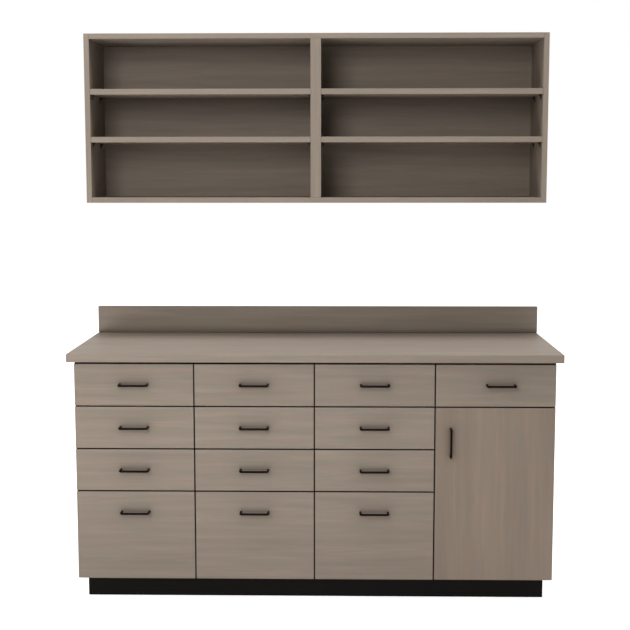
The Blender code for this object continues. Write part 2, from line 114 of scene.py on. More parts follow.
# Base case: two ends, three partitions, bottom, sub-top and back, cut from 19 mm particleboard faced with
# wood-grain laminate, edge banded, and fixed together with dowels and screws.

def node_box(node):
    """Lowest and highest corner of a CAD node at rest, as arrays."""
    return tuple(np.array(corner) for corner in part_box(node))


EDGE_STEPS = 4                      # points over a quarter round
CORNER_SHARE = 1.5                  # a board's corner radius over its edge round


def rounded_board(low, high, ease):
    """A flat board with rounded edges: points, normals and faces.

    The outline of the board's face, a rectangle with round corners, is carried along a profile over its
    thickness: a quarter round, the straight edge and a second quarter round. A point is the board's middle
    plus the outline point, drawn in by the profile's inset, at the profile's height. A normal is the cosine
    of the profile's angle times the outline's normal plus its sine times the thickness direction.
    """
    low, high = np.array(low, float), np.array(high, float)
    middle, half = (low + high) / 2, (high - low) / 2
    up = int(np.argmin(half))
    across, along = (up + 1) % 3, (up + 2) % 3
    quarter = np.linspace(0, math.pi / 2, EDGE_STEPS)
    tilt = np.concatenate([quarter[::-1], -quarter])
    inset = ease * (1 - np.cos(tilt))
    height = np.concatenate([half[up] - ease * (1 - np.sin(quarter[::-1])),
                             -half[up] + ease * (1 - np.sin(quarter))])
    radius = CORNER_SHARE * ease
    turn = (np.arange(4)[:, None] * math.pi / 2 + quarter).ravel()
    side = np.repeat([[1, 1], [-1, 1], [-1, -1], [1, -1]], EDGE_STEPS, axis=0)
    facing = np.stack([np.cos(turn), np.sin(turn)], axis=1)
    corner = side * (half[[across, along]] - radius)
    points = np.zeros((len(tilt), len(turn), 3))
    points[..., [across, along]] = corner + (radius - inset)[:, None, None] * facing
    points[..., up] = height[:, None]
    normals = np.zeros_like(points)
    normals[..., [across, along]] = np.cos(tilt)[:, None, None] * facing
    normals[..., up] = np.sin(tilt)[:, None]
    return points.reshape(-1, 3) + middle, normals.reshape(-1, 3), tube_faces(len(tilt), len(turn))


def tube_faces(rings, count):
    """Faces of a closed tube of rings: quads between each ring and the next, and a cap on each end."""
    index = np.arange(rings * count).reshape(rings, count)
    following = np.roll(index, -1, axis=1)
    quads = np.stack([index[:-1], index[1:], following[1:], following[:-1]], axis=-1).reshape(-1, 4)
    return [*quads.tolist(), index[0].tolist(), index[-1][::-1].tolist()]


sheet_number = itertools.count(1)
SHEET_STEP = np.array([0.713, 0.531, 0.377])


def grain_of(points, direction):
    """Grain coordinates of one board: metres along, across and into its grain, on a sheet of its own.

    The axis named by the direction comes first. Each board is moved on by one more step, so that no two
    boards show the same stretch of the printed sheet.
    """
    order = {"x": [0, 2, 1], "z": [2, 0, 1]}[direction]
    return points[:, order] + next(sheet_number) * SHEET_STEP


def add_piece(name, shapes, material, body, slot, *nodes, grain=None):
    """Make one piece out of shapes, each with its points, normals and faces, and put it on its body.

    Where a grain direction is given, or one for each shape, the mesh gets a grain attribute.
    """
    start = np.cumsum([0] + [len(points) for points, _, _ in shapes])
    points = np.concatenate([shape[0] for shape in shapes])
    normals = np.concatenate([shape[1] for shape in shapes])
    faces = [[i + first for i in face] for (_, _, each), first in zip(shapes, start.tolist()) for face in each]
    mesh = bpy.data.meshes.new(name)
    mesh.from_pydata(points.tolist(), [], faces, shade_flat=False)
    if grain:
        ways = [grain] * len(shapes) if isinstance(grain, str) else grain
        values = np.concatenate([grain_of(shape[0], way) for shape, way in zip(shapes, ways)])
        attribute = mesh.attributes.new("grain", "FLOAT_VECTOR", "POINT")
        attribute.data.foreach_set("vector", values.astype(np.float32).ravel())
    mesh.normals_split_custom_set_from_vertices(normals.tolist())
    mesh.materials.append(material)
    made = bpy.data.objects.new(name, mesh)
    bpy.context.scene.collection.objects.link(made)
    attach(made, body)
    if nodes:
        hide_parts(*nodes)
    return made


# Taupe wood-grain laminate: a printed oak-like paper under a satin melamine skin with a fine pressed grain. It
# gives the eye long soft bands of a warmer and a greyer taupe, thin darker growth lines and a low sheen.
TAUPES = ("#8B7D71", "#887E72")     # warmer and greyer
DOOR_TAUPES = ("#8C7B6E", "#897C6F")    # the same on the door's sheet
GRAIN = {                           # metres along and across the grain, and detail, of each layer
    "band": (1.40, 0.100, 2.0),
    "streak": (0.34, 0.022, 3.0),
    "growth": (0.90, 0.036, 1.0),
    "tint": (0.10, 0.020, 2.0),
    "pore": (0.030, 0.0018, 2.0),   # pressed pores, drawn wider than their 0.3 mm to show
}
LENGTHWAYS = {"band": 0.18, "streak": 0.42, "pore": 0.05}   # depth of each layer on most boards
UPRIGHT = {"band": 0.50, "streak": 0.30, "pore": 0.05}      # and on the door's bolder sheet
GROWTH_STEP, LINE_HALF, LINE_SHADE = 0.08, 0.022, -0.070   # growth lines are level lines of their layer
LINES_FROM, LINES_FULL = 0.46, 0.60 # streak noise where growth lines start and are full
TINT_FROM, TINT_FULL = 0.35, 0.65   # tint noise where the tone leaves the warmer and reaches the greyer
WANDER_LENGTH, WANDER_WIDTH, WANDER = 0.32, 0.060, 0.012
LAMINATE_ROUGH = (0.40, 0.58)
PORE_BUMP, PORE_DEPTH = 0.20, 0.0002
LAMINATE_SPECULAR = 0.105
# Painted shade: a soft darkening multiplied into the laminate's colour near a line, behind each pull's grip and
# along the foot of the splash.
PAINTED_SHADE_HALF = 0.040                # half the length of the line behind a pull's grip
PAINTED_SHADE_DEPTH, PAINTED_SHADE_REACH = 0.45, 0.011  # soft darkening close to a sheltered line, as in the photograph
# Painted gap shade: the fronts' and door's edges take a dark colour where the normal turns from Y.
EDGE_FROM, FACE_FROM = 0.5, 0.8     # share of Y in the normal at which an edge ends and a face begins


def taupe_laminate(name, coordinates, depths, painted_shade_place=None, edge=None, tones=TAUPES):
    """Taupe laminate with the depths of its layers, on grain coordinates.

    The coordinates are a function that adds their source node to a tree and returns its output. So is the
    place of a painted shade, the place from the middle of a line with the line's length first. The colour is
    then multiplied by 1 - depth / (1 + (distance from the line / reach) squared), which paints the shade.
    The edge is a dark colour painted on an upright board's edges, where the surface turns away from Y, as
    painted shade in the gaps.
    """
    made = new_material(name)
    tree = made.node_tree
    sheet = coordinates(tree)
    scale = (1 / WANDER_LENGTH, 1 / WANDER_WIDTH, 1 / WANDER_WIDTH)
    scaled = add_node(tree, "VectorMath", {0: sheet, 1: scale}, operation="MULTIPLY")[0]
    drift = add_node(tree, "TexNoise", {"Vector": scaled, "Scale": 1.0})["Fac"]
    drift = add_node(tree, "Math", {0: drift, 1: WANDER, 2: -WANDER / 2}, operation="MULTIPLY_ADD")[0]
    drift = add_node(tree, "CombineXYZ", {"Y": drift})[0]
    sheet = add_node(tree, "VectorMath", {0: sheet, 1: drift}, operation="ADD")[0]
    layer = {}
    for key, (length, width, detail) in GRAIN.items():
        scale = (1 / length, 1 / width, 1 / width)
        scaled = add_node(tree, "VectorMath", {0: sheet, 1: scale}, operation="MULTIPLY")[0]
        layer[key] = add_node(tree, "TexNoise", {"Vector": scaled, "Scale": 1.0, "Detail": detail})["Fac"]
    line = add_node(tree, "Math", {0: layer["growth"], 1: GROWTH_STEP}, operation="PINGPONG")[0]
    line = add_node(tree, "MapRange", {"Value": line, "From Max": LINE_HALF, "To Min": LINE_SHADE,
                                       "To Max": 0.0})[0]
    clear = add_node(tree, "MapRange", {"Value": layer["streak"], "From Min": LINES_FROM,
                                        "From Max": LINES_FULL})[0]
    shade = add_node(tree, "Math", {0: line, 1: clear, 2: 1 - sum(depths.values()) / 2},
                     operation="MULTIPLY_ADD")[0]
    for key, depth in depths.items():
        shade = add_node(tree, "Math", {0: layer[key], 1: depth, 2: shade}, operation="MULTIPLY_ADD")[0]
    # Painted shade: the colour darkens close to the line.
    if painted_shade_place:
        away = add_node(tree, "VectorMath", {0: painted_shade_place(tree)}, operation="ABSOLUTE")[0]
        away = add_node(tree, "VectorMath", {0: away, 1: (PAINTED_SHADE_HALF, 0.0, 0.0)}, operation="SUBTRACT")[0]
        away = add_node(tree, "VectorMath", {0: away, 1: (0.0, 0.0, 0.0)}, operation="MAXIMUM")[0]
        away = add_node(tree, "VectorMath", {0: away, "Scale": 1 / PAINTED_SHADE_REACH}, operation="SCALE")[0]
        away = add_node(tree, "VectorMath", {0: away, 1: away}, operation="DOT_PRODUCT")["Value"]
        away = add_node(tree, "Math", {0: away, 1: 1.0}, operation="ADD")[0]
        painted_shade_amount = add_node(tree, "Math", {0: PAINTED_SHADE_DEPTH, 1: away}, operation="DIVIDE")[0]
        open_share = add_node(tree, "Math", {0: 1.0, 1: painted_shade_amount}, operation="SUBTRACT")[0]
        shade = add_node(tree, "Math", {0: shade, 1: open_share}, operation="MULTIPLY")[0]
    tint = add_node(tree, "MapRange", {"Value": layer["tint"], "From Min": TINT_FROM, "From Max": TINT_FULL})[0]
    colour = add_node(tree, "Mix", {0: tint, 6: linear(tones[0]), 7: linear(tones[1])}, data_type="RGBA")[2]
    colour = add_node(tree, "VectorMath", {0: colour, "Scale": shade}, operation="SCALE")[0]
    # Painted shade: a dark colour on the edges, for the shade in the gaps.
    if edge:
        facing = add_node(tree, "SeparateXYZ", {0: add_node(tree, "TexCoord", {})["Normal"]})["Y"]
        facing = add_node(tree, "Math", {0: facing}, operation="ABSOLUTE")[0]
        facing = add_node(tree, "MapRange", {"Value": facing, "From Min": EDGE_FROM, "From Max": FACE_FROM})[0]
        colour = add_node(tree, "Mix", {0: facing, 6: linear(edge), 7: colour}, data_type="RGBA")[2]
    rough = add_node(tree, "MapRange", {"Value": layer["pore"], "To Min": LAMINATE_ROUGH[0],
                                        "To Max": LAMINATE_ROUGH[1]})[0]
    bump = add_node(tree, "Bump", {"Height": layer["pore"], "Strength": PORE_BUMP, "Distance": PORE_DEPTH})[0]
    surface = add_node(tree, "BsdfPrincipled", {"Base Color": colour, "Roughness": rough, "Normal": bump,
                                                "Specular IOR Level": LAMINATE_SPECULAR})[0]
    add_node(tree, "OutputMaterial", {"Surface": surface})
    return made


def printed_sheet(tree):
    """Grain coordinates kept in the mesh."""
    return add_node(tree, "Attribute", {}, attribute_name="grain", attribute_type="GEOMETRY")["Vector"]


laminate = taupe_laminate("taupe_woodgrain_laminate", printed_sheet, LENGTHWAYS)


def mottled_finish(name, tones, grain, detail, rough, sockets, bump=None):
    """A finish of two tones, mixed by a noise that also sets its roughness and, if given, its bump.

    The grain is the noise's size in metres along X, Y and Z. The roughness runs from its first to its second
    value as the tones do. The bump is a strength and a depth, and the sockets are the shader's own.
    """
    made = new_material(name)
    tree = made.node_tree
    place = add_node(tree, "TexCoord", {})["Object"]
    scaled = add_node(tree, "VectorMath", {0: place, 1: tuple(1 / size for size in grain)},
                      operation="MULTIPLY")[0]
    mottle = add_node(tree, "TexNoise", {"Vector": scaled, "Scale": 1.0, "Detail": detail})["Fac"]
    colour = add_node(tree, "Mix", {0: mottle, 6: linear(tones[0]), 7: linear(tones[1])}, data_type="RGBA")[2]
    gloss = add_node(tree, "MapRange", {"Value": mottle, "To Min": rough[0], "To Max": rough[1]})[0]
    linked = {"Base Color": colour, "Roughness": gloss}
    if bump:
        linked["Normal"] = add_node(tree, "Bump", {"Height": mottle, "Strength": bump[0],
                                                   "Distance": bump[1]})[0]
    surface = add_node(tree, "BsdfPrincipled", {**linked, **sockets})[0]
    add_node(tree, "OutputMaterial", {"Surface": surface})
    return made


# Dark brown painted gap shade: a plastic strip glued to the front edges of the case, and the edges of the
# fronts, whose laminate carries its colour. Both are painted dark brown as the shade in the gaps between the
# fronts, and give the eye dark lines there, with the faint ripple of a scraped strip.
PAINTED_GAP_BROWN = "#1E140D"
PAINTED_GAP_SCRAPED = "#2A1E16"
SCRAPE = 0.004
painted_gap_band = mottled_finish("dark_brown_painted_gap_shade", (PAINTED_GAP_BROWN, PAINTED_GAP_SCRAPED), (SCRAPE,) * 3, detail=2.0,
                           rough=(0.45, 0.60), sockets={"Specular IOR Level": 0.15})

PANEL = 0.019
CASE_EASE = 0.0006
BAND, BAND_EASE = 0.0008, 0.0002
GLUE = 0.0001
UPRIGHTS = ("left_end_panel", "partition_1", "partition_2", "partition_3", "right_end_panel")
# The case's front edges get dark bands, painted shade for the gaps behind the fronts.
painted_gap_strips = []
for node in UPRIGHTS + ("bottom_panel", "sub_top"):
    low, high = node_box(node)
    if node in UPRIGHTS:
        inner = {"left_end_panel": low[0], "right_end_panel": high[0] - PANEL}
        low[0] = inner.get(node, (low[0] + high[0] - PANEL) / 2)
        high[0] = low[0] + PANEL
    painted_gap_strips.append(rounded_board(low, (high[0], low[1] + BAND, high[2]), BAND_EASE))
    add_piece(f"{node}_board", [rounded_board(low + (0, BAND + GLUE, 0), high, CASE_EASE)], laminate, "cabinet",
              "taupe_laminate", node, grain="z" if node in UPRIGHTS else "x")
add_piece("case_painted_gap_shade_strips", painted_gap_strips, painted_gap_band, "cabinet", "black_laminate")
for node in ("back_panel", "door_shelf"):
    add_piece(f"{node}_board", [rounded_board(*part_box(node), CASE_EASE)], laminate, "cabinet",
              "taupe_laminate", node, grain="x")


# Slide channels: the cabinet halves of side-mounted ball bearing slides, roll-formed from zinc-plated steel
# and screwed to the ends and partitions in pairs before the drawers go in.

def extrusion(outline, y_low, y_high):
    """A bar along Y: a closed outline of X, Z points drawn from one end to the other.

    Every corner is doubled, so that each side keeps its own normal, which is its edge turned by a right
    angle.
    """
    outline = np.array(outline, float)
    edge = np.roll(outline, -1, axis=0) - outline
    area = np.sum(outline[:, 0] * np.roll(outline[:, 1], -1) - np.roll(outline[:, 0], -1) * outline[:, 1])
    if area < 0:
        outline = outline[::-1]
        edge = np.roll(outline, -1, axis=0) - outline
    count = len(outline)
    flat = np.stack([outline, outline + edge], axis=1).reshape(-1, 2)
    points = np.zeros((2, 2 * count, 3))
    points[..., [0, 2]] = flat
    points[0, :, 1] = y_low
    points[1, :, 1] = y_high
    outward = np.stack([edge[:, 1], -edge[:, 0]], axis=1) / np.linalg.norm(edge, axis=1)[:, None]
    normals = np.zeros_like(points)
    normals[..., [0, 2]] = np.repeat(outward, 2, axis=0)
    side = 2 * np.arange(count)
    quads = np.stack([side, side + 2 * count, side + 1 + 2 * count, side + 1], axis=1)
    ends = np.zeros((2, count, 3))
    ends[..., [0, 2]] = outline
    ends[0, :, 1] = y_low
    ends[1, :, 1] = y_high
    end_normals = np.zeros_like(ends)
    end_normals[0, :, 1] = -1
    end_normals[1, :, 1] = 1
    first = 4 * count + np.arange(count)
    faces = [*quads.tolist(), first.tolist(), (first + count)[::-1].tolist()]
    return (np.concatenate([points.reshape(-1, 3), ends.reshape(-1, 3)]),
            np.concatenate([normals.reshape(-1, 3), end_normals.reshape(-1, 3)]), faces)


def bent_strip(spine, thickness):
    """Outline of sheet metal: a spine of X, Z points, and the same spine moved to its left by the thickness.

    The move follows the mitre of each bend, the sum of the two edge normals over one plus their dot product.
    """
    spine = np.array(spine, float)
    edge = np.diff(spine, axis=0)
    left = np.stack([-edge[:, 1], edge[:, 0]], axis=1) / np.linalg.norm(edge, axis=1)[:, None]
    before = np.concatenate([left[:1], left])
    after = np.concatenate([left, left[-1:]])
    mitre = (before + after) / (1 + np.sum(before * after, axis=1))[:, None]
    return np.concatenate([spine, (spine + thickness * mitre)[::-1]])


# Zinc-plated steel: bright zinc with a blue passivate over cold-rolled strip. It gives the eye a grey metal
# with a faint grain along the rolling direction and slightly cloudy gloss.
ZINC = "#A9ABAC"
ZINC_CLOUD = "#8D9092"
ROLL_LENGTH, ROLL_WIDTH = 0.060, 0.0012
zinc_steel = mottled_finish("zinc_plated_steel", (ZINC_CLOUD, ZINC), (ROLL_WIDTH, ROLL_LENGTH, ROLL_WIDTH),
                            detail=3.0, rough=(0.28, 0.46), sockets={"Metallic": 1.0}, bump=(0.15, 0.0001))

DRAWERS = [(column, row) for column in (1, 2, 3) for row in (1, 2, 3, 4)] + [(4, 1)]
SLIDE_SPACE = 0.0127                # between a drawer's tray and the panel beside it
SLIDE_HEIGHT = 0.035
SLIDE_RISE = 0.010                  # from the tray's underside
SLIDE_STRIP = 0.0012
RUNNER_REACH = 0.0108               # the drawer half, from the tray's side
CHANNEL_LIP = 0.0110
CHANNEL_SETBACK = 0.003
LIP_TURN = 0.004                    # the lips' ends, turned in to hold the balls
LIP_CORNER, WEB_CORNER = 0.0012, 0.0008     # flats at the bends
CASE_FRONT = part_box("bottom_panel")[0].y
CHANNEL = bent_strip([              # a web on the panel with two lips
    (CHANNEL_LIP, SLIDE_HEIGHT - LIP_TURN), (CHANNEL_LIP, SLIDE_HEIGHT - LIP_CORNER),
    (CHANNEL_LIP - LIP_CORNER, SLIDE_HEIGHT), (WEB_CORNER, SLIDE_HEIGHT), (0, SLIDE_HEIGHT - WEB_CORNER),
    (0, WEB_CORNER), (WEB_CORNER, 0), (CHANNEL_LIP - LIP_CORNER, 0), (CHANNEL_LIP, LIP_CORNER),
    (CHANNEL_LIP, LIP_TURN)], SLIDE_STRIP)


def tray_box(column, row):
    """Lowest and highest corner of a drawer's tray, without the runners on its sides."""
    low, high = node_box(f"drawer_box_c{column}_r{row}")
    return low + (RUNNER_REACH, 0, 0), high - (RUNNER_REACH, 0, 0)


for column, row in DRAWERS:
    low, high = tray_box(column, row)
    base = low[2] + SLIDE_RISE
    pair = []
    for panel, facing in ((low[0] - SLIDE_SPACE, 1), (high[0] + SLIDE_SPACE, -1)):
        pair.append(extrusion(CHANNEL * (facing, 1) + (panel, base), CASE_FRONT + CHANNEL_SETBACK, high[1]))
    add_piece(f"slide_channels_c{column}_r{row}", pair, zinc_steel, "cabinet", "nickel_steel")


# Worktop and backsplash: a built-up particleboard top and an upstand, both in the same laminate with its grain
# running along the counter. The top is screwed up through the sub-top, and the splash is glued down.

def kept_painted_shade(tree):
    """Place from the line of a painted shade, kept in the mesh."""
    return add_node(tree, "Attribute", {}, attribute_name="painted_shade_place", attribute_type="GEOMETRY")["Vector"]


def keep_painted_shade(made, places):
    """Keep each point's place from the line of a painted shade in the mesh of a piece."""
    attribute = made.data.attributes.new("painted_shade_place", "FLOAT_VECTOR", "POINT")
    attribute.data.foreach_set("vector", places.astype(np.float32).ravel())


# The same laminate, with a painted shade: a soft darkening along the foot of the splash, on the splash and the
# worktop.
painted_shade_laminate = taupe_laminate("taupe_woodgrain_laminate_painted_shade", printed_sheet, LENGTHWAYS, kept_painted_shade)

COUNTER_EASE = 0.0025
SPLASH_EASE = 0.0010
splash_foot = np.array([0.0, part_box("backsplash")[0].y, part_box("backsplash")[0].z])
for name, node, ease in (("worktop", "countertop", COUNTER_EASE), ("splash", "backsplash", SPLASH_EASE)):
    board = rounded_board(*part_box(node), ease)
    made = add_piece(name, [board], painted_shade_laminate, "cabinet", "taupe_laminate", node, grain="x")
    keep_painted_shade(made, (board[0] - splash_foot) * (0, 1, 1))


# Drawers: a tray of white melamine board with a thin bottom, a laminate front screwed on through the tray's
# front wall, and the drawer halves of the slides screwed to the tray's sides.

# White melamine: paper and resin pressed onto particleboard. It gives the eye a warm white with a faint
# orange-peel mottle and a satin gloss.
MELAMINE = "#E4E0D8"
MELAMINE_DIM = "#DAD6CD"
MOTTLE = 0.006
white_melamine = mottled_finish("white_melamine", (MELAMINE_DIM, MELAMINE), (MOTTLE,) * 3, detail=3.0,
                                rough=(0.38, 0.52), sockets={"Specular IOR Level": 0.40}, bump=(0.10, 0.0002))

# The same laminate with dark edges painted as shade in the gaps, and a painted shade behind a pull's grip.
front_laminate = taupe_laminate("taupe_woodgrain_laminate_painted_edge_and_pull_shade", printed_sheet, LENGTHWAYS, kept_painted_shade,
                                PAINTED_GAP_BROWN)

FRONT_EASE = 0.0007
FACE_ONLY = 6.0                     # stretch of the way off a face, which keeps the painted shade on that face
TRAY_WALL = 0.0127
TRAY_BOTTOM = 0.0065
TRAY_EASE = 0.0008
JOINT = 0.00015                     # half the hairline between two glued boards
RUNNER_SETBACK = 0.003
RUNNER_LOW = 0.0021                 # from the channel's underside to the runner's
RUNNER_HIGH = SLIDE_HEIGHT - RUNNER_LOW
RUNNER_FLANGE = RUNNER_REACH - 0.0006       # kept a little short of the channel's web
RUNNER = bent_strip([               # a web on the tray's side with two flanges, between the channel's lips
    (RUNNER_FLANGE, RUNNER_HIGH), (WEB_CORNER, RUNNER_HIGH), (0, RUNNER_HIGH - WEB_CORNER),
    (0, RUNNER_LOW + WEB_CORNER), (WEB_CORNER, RUNNER_LOW), (RUNNER_FLANGE, RUNNER_LOW)], SLIDE_STRIP)
for column, row in DRAWERS:
    tag = f"c{column}_r{row}"
    body = f"drawer_{tag}"
    board = rounded_board(*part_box(f"drawer_front_{tag}"), FRONT_EASE)
    made = add_piece(f"drawer_face_{tag}", [board], front_laminate, body, "taupe_laminate",
                     f"drawer_front_{tag}", grain="x")
    seat = np.mean(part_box(f"drawer_pull_{tag}"), axis=0)
    seat[1] = board[0][:, 1].min()
    keep_painted_shade(made, (board[0] - seat) * (1, FACE_ONLY, 1))
    low, high = tray_box(column, row)
    inner_low = low + (TRAY_WALL + JOINT, TRAY_WALL + JOINT, 0)
    inner_high = high - (TRAY_WALL + JOINT, TRAY_WALL + JOINT, 0)
    walls = [
        rounded_board(low, (low[0] + TRAY_WALL, high[1], high[2]), TRAY_EASE),
        rounded_board((high[0] - TRAY_WALL, low[1], low[2]), high, TRAY_EASE),
        rounded_board((inner_low[0], low[1], low[2]), (inner_high[0], low[1] + TRAY_WALL, high[2]), TRAY_EASE),
        rounded_board((inner_low[0], high[1] - TRAY_WALL, low[2]), (inner_high[0], high[1], high[2]),
                      TRAY_EASE),
        rounded_board(inner_low, (inner_high[0], inner_high[1], low[2] + TRAY_BOTTOM), TRAY_EASE),
    ]
    add_piece(f"drawer_tray_{tag}", walls, white_melamine, body, "white_melamine", f"drawer_box_{tag}")
    base = low[2] + SLIDE_RISE
    pair = []
    for side, facing in ((low[0], -1), (high[0], 1)):
        pair.append(extrusion(RUNNER * (facing, 1) + (side, base), low[1] + RUNNER_SETBACK,
                              high[1] - RUNNER_SETBACK))
    add_piece(f"slide_runners_{tag}", pair, zinc_steel, body, "nickel_steel")


# Bow pulls: 8 mm steel rod bent to a shallow bow, drilled and tapped in both legs and held by two machine
# screws from inside. One lies across each drawer and one stands on the door.

# Black powder-coated steel: a satin coat over bent rod. It gives the eye an almost black brown with a soft
# highlight along the rod.
BLACK_COAT = "#0E0804"
COAT_WORN = "#160D07"
COAT_GRAIN = 0.0009
black_coat = mottled_finish("black_powder_coated_steel", (BLACK_COAT, COAT_WORN), (COAT_GRAIN,) * 3, detail=2.0,
                            rough=(0.38, 0.52), sockets={"Specular IOR Level": 0.04}, bump=(0.12, 0.0001))

PULL_SPACING = 0.0965
PULL_ROD = 0.008
PULL_BEND = 0.007                   # radius of the rod's middle line
PULL_PROJECTION = 0.037
PULL_SEAT = 0.0003                  # from the front's face to the rod's end
LEG_ROUND = 0.0006                  # on the rod's cut ends
ROD_SIDES = 20
LEG_POINTS, BEND_POINTS = 3, 9      # along a leg's rounded end and along a bend


def rod(path, radii):
    """A round rod along a path in a plane of constant Z: points, normals and faces.

    A point is the path's point plus the radius times the cosine of an angle along the path's side and its
    sine along Z. The side is the path's heading turned by a right angle.
    """
    heading = np.gradient(path, axis=0)
    heading /= np.linalg.norm(heading, axis=1)[:, None]
    angle = np.linspace(0, -2 * math.pi, ROD_SIDES, endpoint=False)
    side = np.stack([-heading[:, 1], heading[:, 0], np.zeros(len(path))], axis=1)
    up = np.array([0, 0, 1.0])
    outward = np.cos(angle)[None, :, None] * side[:, None] + np.sin(angle)[None, :, None] * up
    points = np.concatenate([path, np.zeros((len(path), 1))], axis=1)[:, None] + radii[:, None, None] * outward
    return points.reshape(-1, 3), outward.reshape(-1, 3), tube_faces(len(path), ROD_SIDES)


def bow_pull():
    """The rod of a pull about its middle: legs along Y from the face, quarter bends and a straight bar."""
    leg = PULL_SPACING / 2
    out = -PULL_PROJECTION + PULL_ROD / 2
    turn = np.linspace(0, math.pi / 2, BEND_POINTS)
    left_leg = np.stack([np.full(LEG_POINTS, -leg), -PULL_SEAT - LEG_ROUND * np.arange(LEG_POINTS)], axis=1)
    left_bend = np.stack([-leg + PULL_BEND * (1 - np.cos(turn)), out + PULL_BEND * (1 - np.sin(turn))], axis=1)
    half = np.concatenate([left_leg, left_bend])
    path = np.concatenate([half, half[::-1] * (-1, 1)])
    radii = np.full(len(path), PULL_ROD / 2)
    radii[[0, -1]] -= LEG_ROUND
    return rod(path, radii)


SCREW_HEAD = np.array([(0.0009, 0.0011), (0.0013, 0.0024), (0.0024, 0.0022), (0.0034, 0.0016), (0.0039, 0.0007),
                       (0.0039, 0.0)])    # radius and height, from the recess over the crown to the rim
HEAD_SIDES = 16
GENTLE = 0.64                       # cosine of the turn below which two edges of a profile share a normal


def turned(profile, sides, middle):
    """A turned piece: a profile of radius and height carried round an axis along +Y, closed by two flat discs.

    A point is the middle plus the radius times the cosine along X and the sine along Z of an angle, plus the
    height along Y. Each edge of the profile keeps its own normal, the edge turned by a right angle, except
    that two edges which meet in a gentle turn take the mean of theirs.
    """
    edge = np.diff(profile, axis=0)
    normal = np.stack([-edge[:, 1], edge[:, 0]], axis=1) / np.linalg.norm(edge, axis=1)[:, None]
    mean = normal[:-1] + normal[1:]
    mean /= np.linalg.norm(mean, axis=1)[:, None]
    gentle = (np.sum(normal[:-1] * normal[1:], axis=1) > GENTLE)[:, None]
    starts = np.concatenate([normal[:1], np.where(gentle, mean, normal[1:])])
    ends = np.concatenate([np.where(gentle, mean, normal[:-1]), normal[-1:]])
    rows = np.stack([profile[:-1], profile[1:]], axis=1).reshape(-1, 2)
    rows = np.concatenate([profile[:1], rows, profile[-1:]])
    slope = np.concatenate([[(0, 1)], np.stack([starts, ends], axis=1).reshape(-1, 2), [(0, -1)]])
    angle = np.linspace(0, -2 * math.pi, sides, endpoint=False)
    ring = np.stack([np.cos(angle), np.zeros(sides), np.sin(angle)], axis=1)
    up = np.array([0.0, 1.0, 0.0])
    points = middle + rows[:, :1, None] * ring + rows[:, 1:, None] * up
    normals = slope[:, :1, None] * ring + slope[:, 1:, None] * up
    return points.reshape(-1, 3), normals.reshape(-1, 3), tube_faces(len(rows), sides)


def placed(shape, middle, upright):
    """A shape moved to a middle point and, if upright, first turned about Y so that X becomes Z."""
    points, normals, faces = shape
    if upright:
        points = points[:, [2, 1, 0]] * (1, 1, -1)
        normals = normals[:, [2, 1, 0]] * (1, 1, -1)
    return points + middle, normals, faces


def add_pull(name, node, body, face, inside, upright):
    """One pull on a front's face, and the heads of its two screws on the inside face."""
    middle = np.mean(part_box(node), axis=0)
    middle[1] = face
    add_piece(name, [placed(bow_pull(), middle, upright)], black_coat, body, "black_metal", node)
    way = np.array([0, 0, 1.0]) if upright else np.array([1.0, 0, 0])
    seats = [middle + side * way * PULL_SPACING / 2 + (0, inside - face, 0) for side in (-1, 1)]
    heads = [turned(SCREW_HEAD, HEAD_SIDES, seat) for seat in seats]
    add_piece(f"{name}_screws", heads, zinc_steel, body, "nickel_steel")


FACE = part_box("door")[0].y
for column, row in DRAWERS:
    tag = f"c{column}_r{row}"
    add_pull(f"bow_pull_{tag}", f"drawer_pull_{tag}", f"drawer_{tag}", FACE,
             tray_box(column, row)[0][1] + TRAY_WALL + JOINT, False)


# Door: one laminate panel with its grain upright, bored on the back for two hinge cups. The cups are pressed
# steel, screwed to the door through their ears.

def upright_sheet(tree):
    """Grain coordinates of the door: the object's own coordinates with Z, along the grain, put first."""
    place = add_node(tree, "TexCoord", {})["Object"]
    split = add_node(tree, "SeparateXYZ", {0: place})
    return add_node(tree, "CombineXYZ", {"X": split["Z"], "Y": split["X"], "Z": split["Y"]})[0]


def door_painted_shade(tree):
    """Place from the middle of the door pull's seat, for the painted shade behind the pull: along the pull,
    across it and off the face, stretched.
    """
    low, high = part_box("door_pull")
    seat = ((low.x + high.x) / 2, FACE, (low.z + high.z) / 2)
    place = add_node(tree, "TexCoord", {})["Object"]
    place = add_node(tree, "VectorMath", {0: place, 1: seat}, operation="SUBTRACT")[0]
    place = add_node(tree, "VectorMath", {0: place, 1: (1.0, FACE_ONLY, 1.0)}, operation="MULTIPLY")[0]
    split = add_node(tree, "SeparateXYZ", {0: place})
    return add_node(tree, "CombineXYZ", {"X": split["Z"], "Y": split["X"], "Z": split["Y"]})[0]


# The same laminate with its grain upright, off a bolder sheet, with dark edges painted as shade in the
# gaps and a painted shade behind the pull's grip.
upright_laminate = taupe_laminate("taupe_woodgrain_laminate_upright", upright_sheet, UPRIGHT, door_painted_shade,
                                  PAINTED_GAP_BROWN, DOOR_TAUPES)
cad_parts["door"].material_slots[0].material = upright_laminate
DOOR_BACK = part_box("door")[1].y
add_pull("bow_pull_door", "door_pull", "door", FACE, DOOR_BACK + JOINT, True)

# Nickel-plated steel: bright nickel over pressed strip. It gives the eye a clear, slightly warm mirror with
# fine wipe marks.
NICKEL = "#C4C1B8"
NICKEL_WIPED = "#A8A59C"
WIPE_LENGTH, WIPE_WIDTH = 0.030, 0.0015
nickel_steel = mottled_finish("nickel_plated_steel", (NICKEL_WIPED, NICKEL),
                              (WIPE_WIDTH, WIPE_LENGTH, WIPE_WIDTH), detail=2.0, rough=(0.18, 0.34),
                              sockets={"Metallic": 1.0})

